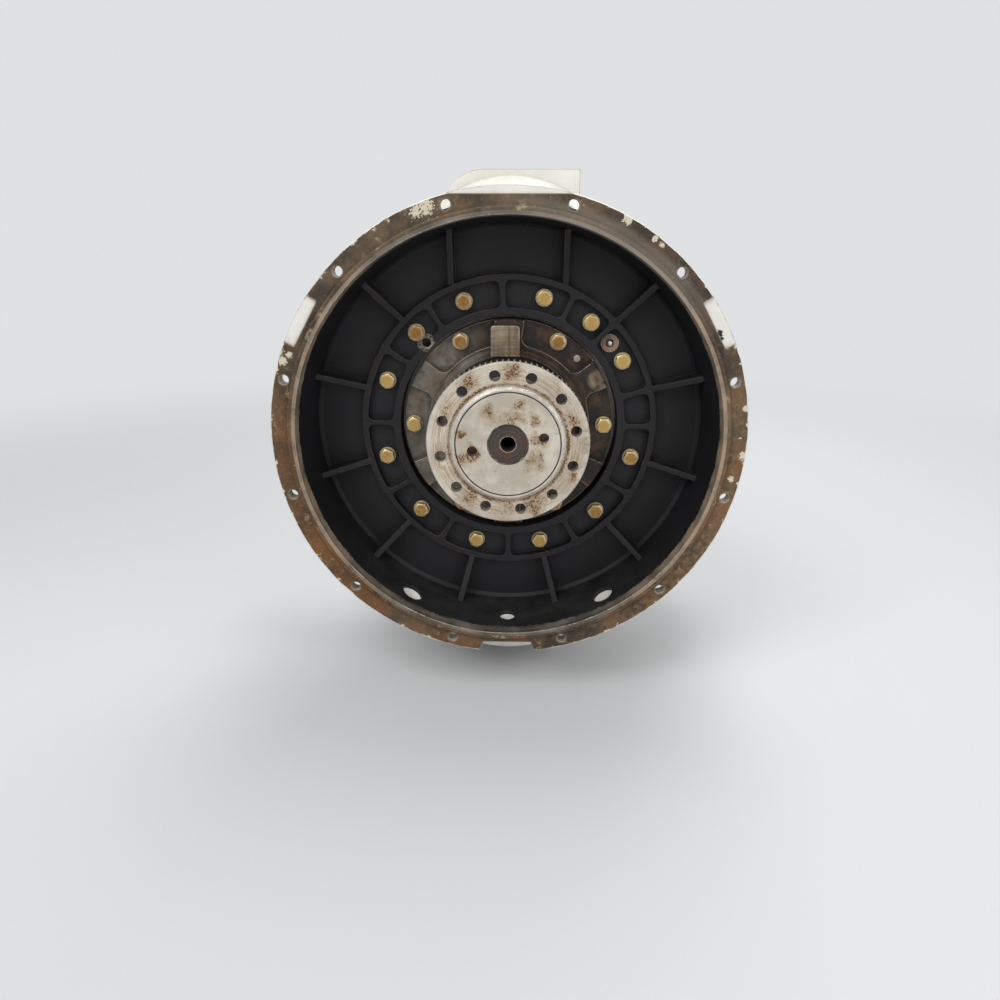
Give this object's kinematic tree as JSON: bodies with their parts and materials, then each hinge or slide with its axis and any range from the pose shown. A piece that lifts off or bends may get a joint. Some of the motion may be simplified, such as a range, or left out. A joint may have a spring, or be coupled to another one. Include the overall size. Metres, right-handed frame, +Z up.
{
  "type": "marine gearbox",
  "caption": "Marine reverse and reduction gearbox: round bell housing, input drive flange, clutch gear train in a white case, output flange, oil pump, control valve and lever.",
  "frame": {"origin": "centre of the bell flange's bolt circle, on the flange's mating face", "axes": "+X to the right seen from the engine, +Y along the shafts away from the engine, +Z up"},
  "size_m": [0.58, 0.44, 0.6416],
  "materials": {
    "bell_paint": "matte dark paint inside, white outside, bare rusty face",
    "white_paint": "satin white paint",
    "zinc": "yellow zinc plate",
    "plated_steel": "satin zinc plate",
    "retainer_iron": "dark bare casting with light rust",
    "machined_steel": "machined steel with light rust stains",
    "dark_steel": "oiled dark steel",
    "gear_steel": "ground steel",
    "plate_steel": "satin steel",
    "bearing_steel": "ground bearing steel",
    "friction_lining": "brown friction lining",
    "bronze": "bearing bronze",
    "seal_rubber": "black rubber",
    "gasket": "black gasket",
    "pump_alloy": "cast aluminium",
    "filter_paint": "gloss white paint",
    "lever_black": "black paint",
    "dipstick_yellow": "yellow cap on a steel blade"
  },
  "bodies": {
    "casing": {"bell_housing": "bell_paint", "bell_bolts": "zinc", "dowel_bush": "machined_steel", "dowel_pin": "machined_steel", "gear_case": "white_paint", "input_bearing_retainer": "retainer_iron", "retainer_bolts": "zinc", "retainer_plug": "machined_steel", "input_oil_seal": "seal_rubber", "rear_cover": "white_paint", "rear_cover_gasket": "gasket", "rear_cover_bolts": "plated_steel", "output_bearing_carrier": "white_paint", "carrier_bolts": "plated_steel", "output_oil_seal": "seal_rubber", "bearing_outer_rings": "bearing_steel", "valve_body": "white_paint", "valve_cover": "white_paint", "valve_bolts": "plated_steel", "filter_adapter": "pump_alloy", "oil_filter": "filter_paint", "oil_pump_body": "pump_alloy", "oil_pump_cover": "pump_alloy", "oil_pump_bolts": "plated_steel", "dipstick_tube": "plated_steel", "breather": "dark_steel", "drain_plug": "dark_steel", "port_plugs": "dark_steel", "lifting_eyes": "plated_steel"},
    "input": {"input_shaft": "dark_steel", "input_flange": "machined_steel", "tone_ring": "machined_steel", "ahead_clutch_drum": "gear_steel", "ahead_steel_plates": "plate_steel", "input_bearing_cones": "bearing_steel"},
    "ahead_piston": {"ahead_piston": "gear_steel"},
    "ahead_pinion": {"ahead_pinion": "gear_steel", "ahead_pinion_bushes": "bronze", "ahead_friction_plates": "friction_lining"},
    "reverse": {"reverse_shaft": "dark_steel", "astern_clutch_drum": "gear_steel", "astern_steel_plates": "plate_steel", "reverse_bearing_cones": "bearing_steel", "pump_drive_gear": "gear_steel"},
    "astern_piston": {"astern_piston": "gear_steel"},
    "astern_pinion": {"astern_pinion": "gear_steel", "astern_pinion_bushes": "bronze", "astern_friction_plates": "friction_lining"},
    "pump_idler": {"pump_idler_gear": "gear_steel"},
    "output": {"output_shaft": "dark_steel", "output_gear": "gear_steel", "output_bearing_cones": "bearing_steel", "output_flange": "machined_steel", "output_nut": "dark_steel"},
    "selector": {"selector_lever": "lever_black", "selector_spool": "gear_steel"},
    "dipstick": {"dipstick": "dipstick_yellow"}
  },
  "joints": [
    {"name": "input_spin", "type": "hinge", "parent": "casing", "child": "input", "pos_m": [0, 0.2, 0], "axis": [0, 1, 0], "continuous": true},
    {"name": "reverse_spin", "type": "hinge", "parent": "casing", "child": "reverse", "pos_m": [0.15588, 0.2, -0.09], "axis": [0, 1, 0], "continuous": true},
    {"name": "pump_idler_spin", "type": "hinge", "parent": "casing", "child": "pump_idler", "pos_m": [0.15588, 0.2, -0.041], "axis": [0, 1, 0], "continuous": true},
    {"name": "output_spin", "type": "hinge", "parent": "casing", "child": "output", "pos_m": [0, 0.2, -0.18], "axis": [0, 1, 0], "continuous": true},
    {"name": "ahead_pinion_spin", "type": "hinge", "parent": "casing", "child": "ahead_pinion", "pos_m": [0, 0.2, 0], "axis": [0, 1, 0], "continuous": true},
    {"name": "astern_pinion_spin", "type": "hinge", "parent": "casing", "child": "astern_pinion", "pos_m": [0.15588, 0.2, -0.09], "axis": [0, 1, 0], "continuous": true},
    {"name": "ahead_piston_slide", "type": "slide", "parent": "input", "child": "ahead_piston", "axis": [0, 1, 0], "range_m": [0, 0.0025]},
    {"name": "astern_piston_slide", "type": "slide", "parent": "reverse", "child": "astern_piston", "axis": [0, 1, 0], "range_m": [0, 0.0025]},
    {"name": "selector_swing", "type": "hinge", "parent": "casing", "child": "selector", "pos_m": [0.0863, 0.223, 0.154], "axis": [1, 0, 0], "range_deg": [-35, 35]},
    {"name": "dipstick_pull", "type": "slide", "parent": "casing", "child": "dipstick", "axis": [0, 0, 1], "range_m": [0, 0.4]}
  ],
  "couplings": [
    {"joint": "reverse_spin", "follows": "input_spin", "ratio": -1},
    {"joint": "pump_idler_spin", "follows": "input_spin", "ratio": 1},
    {"joint": "ahead_pinion_spin", "follows": "output_spin", "ratio": -2.2},
    {"joint": "astern_pinion_spin", "follows": "output_spin", "ratio": -2.2}
  ]
}
